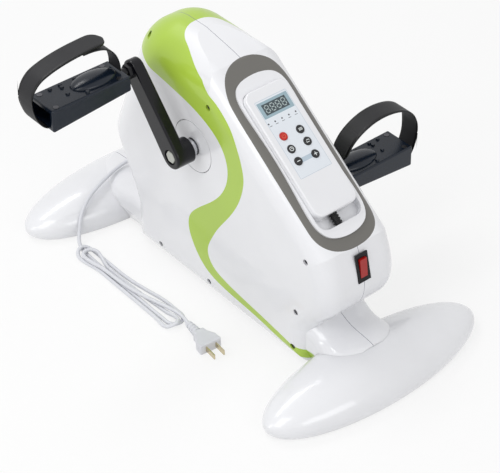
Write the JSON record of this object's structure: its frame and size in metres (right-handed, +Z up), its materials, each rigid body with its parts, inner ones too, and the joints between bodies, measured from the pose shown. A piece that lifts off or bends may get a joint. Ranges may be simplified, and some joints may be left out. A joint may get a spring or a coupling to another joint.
{
  "type": "pedal exerciser",
  "caption": "Motorised floor pedal exerciser with strapped pedals on a through crank, a sloped console with a lift-out handset, a rocker power switch and a mains lead.",
  "frame": {"origin": "on the floor, midway between the two feet and under the housing centre plane", "axes": "+X along the crank axle towards the right pedal as the user sees it from the console end, +Y from the user end to the far end, +Z up"},
  "size_m": [0.445, 0.5498, 0.3425],
  "materials": {
    "white_plastic": "glossy moulded plastic",
    "green_plastic": "glossy lime green plastic",
    "grey_trim": "satin grey moulded trim",
    "label_film": "matt printed film",
    "display_glass": "display behind clear film",
    "lamp": "small lamp lenses",
    "black_plastic": "glossy black plastic",
    "red_plastic": "glossy red plastic",
    "black_paint": "black enamel",
    "steel": "turned steel",
    "bolt_cap": "light grey cap",
    "frame_paint": "black powder coat",
    "screw_metal": "bright plated screws",
    "pedal_plastic": "dark navy moulded plastic",
    "strap_rubber": "charcoal soft rubber",
    "pad_rubber": "black rubber",
    "motor_metal": "plated motor can",
    "pulley_plastic": "moulded nylon",
    "board": "green circuit board",
    "cord_sheath": "white soft sheath",
    "plug_metal": "plated brass pins"
  },
  "bodies": {
    "base": {"bearing_tube": "steel", "console_ring": "grey_trim", "console_tray": "white_plastic", "control_board": "board", "cord_hank": "cord_sheath", "cord_strain_relief": "cord_sheath", "crank_bearings": "steel", "crank_post": "frame_paint", "drive_belt": "pad_rubber", "far_cross_tube": "frame_paint", "far_foot_cover": "white_plastic", "foot_pads": "pad_rubber", "housing_screws": "screw_metal", "left_crank_cover": "white_plastic", "left_green_band": "green_plastic", "left_shaft_disc": "white_plastic", "left_shell": "white_plastic", "motor": "motor_metal", "motor_bracket": "frame_paint", "near_cross_tube": "frame_paint", "near_foot_cover": "white_plastic", "plug_body": "cord_sheath", "plug_pins": "plug_metal", "power_cord": "cord_sheath", "right_crank_cover": "white_plastic", "right_green_band": "green_plastic", "right_shaft_disc": "white_plastic", "right_shell": "white_plastic", "spine_tube": "frame_paint", "switch_bezel": "black_plastic"},
    "crank": {"crank_shaft": "steel", "crank_pulley": "pulley_plastic", "crank_bolts": "bolt_cap", "shaft_collars": "steel", "left_crank_arm": "black_paint", "right_crank_arm": "black_paint", "left_pedal_axle": "steel", "right_pedal_axle": "steel"},
    "left_pedal": {"left_pedal_body": "pedal_plastic", "left_pedal_screws": "screw_metal", "left_pedal_strap": "strap_rubber"},
    "right_pedal": {"right_pedal_body": "pedal_plastic", "right_pedal_screws": "screw_metal", "right_pedal_strap": "strap_rubber"},
    "motor_rotor": {"motor_shaft": "steel", "motor_pulley": "pulley_plastic"},
    "rocker": {"switch_rocker": "red_plastic"},
    "handset": {"remote_back": "white_plastic", "remote_front": "white_plastic", "remote_panel": "label_film", "lcd_window": "display_glass", "led_windows": "lamp", "remote_board": "board", "remote_connector": "black_plastic"},
    "key_start_stop_body": {"key_start_stop": "red_plastic"},
    "key_mode_body": {"key_mode": "black_plastic"},
    "key_direction_body": {"key_direction": "black_plastic"},
    "key_timer_body": {"key_timer": "black_plastic"},
    "key_minus_body": {"key_minus": "black_plastic"},
    "key_plus_body": {"key_plus": "black_plastic"}
  },
  "joints": [
    {"name": "crank_spin", "type": "hinge", "parent": "base", "child": "crank", "pos_m": [0, 0.017, 0.2055], "axis": [1, 0, 0], "continuous": true},
    {"name": "left_pedal_spin", "type": "hinge", "parent": "crank", "child": "left_pedal", "pos_m": [-0.14, 0.08343, 0.28552], "axis": [1, 0, 0], "continuous": true},
    {"name": "right_pedal_spin", "type": "hinge", "parent": "crank", "child": "right_pedal", "pos_m": [0.14, -0.04943, 0.12548], "axis": [1, 0, 0], "continuous": true},
    {"name": "motor_spin", "type": "hinge", "parent": "base", "child": "motor_rotor", "pos_m": [0.036, -0.062, 0.088], "axis": [1, 0, 0], "continuous": true},
    {"name": "rocker_tilt", "type": "hinge", "parent": "base", "child": "rocker", "pos_m": [0, -0.20363, 0.14477], "axis": [1, 0, 0], "range_deg": [-14, 0]},
    {"name": "handset_lift", "type": "slide", "parent": "base", "child": "handset", "axis": [0, -0.5976, 0.8018], "range_m": [0, 0.03]},
    {"name": "key_start_stop_press", "type": "slide", "parent": "handset", "child": "key_start_stop_body", "axis": [0, 0.5976, -0.8018], "range_m": [0, 0.0008], "stiffness_N_per_m": 400},
    {"name": "key_mode_press", "type": "slide", "parent": "handset", "child": "key_mode_body", "axis": [0, 0.5976, -0.8018], "range_m": [0, 0.0008], "stiffness_N_per_m": 400},
    {"name": "key_direction_press", "type": "slide", "parent": "handset", "child": "key_direction_body", "axis": [0, 0.5976, -0.8018], "range_m": [0, 0.0008], "stiffness_N_per_m": 400},
    {"name": "key_timer_press", "type": "slide", "parent": "handset", "child": "key_timer_body", "axis": [0, 0.5976, -0.8018], "range_m": [0, 0.0008], "stiffness_N_per_m": 400},
    {"name": "key_minus_press", "type": "slide", "parent": "handset", "child": "key_minus_body", "axis": [0, 0.5976, -0.8018], "range_m": [0, 0.0008], "stiffness_N_per_m": 400},
    {"name": "key_plus_press", "type": "slide", "parent": "handset", "child": "key_plus_body", "axis": [0, 0.5976, -0.8018], "range_m": [0, 0.0008], "stiffness_N_per_m": 400}
  ],
  "couplings": [
    {"joint": "motor_spin", "follows": "crank_spin", "ratio": 4.8333}
  ]
}
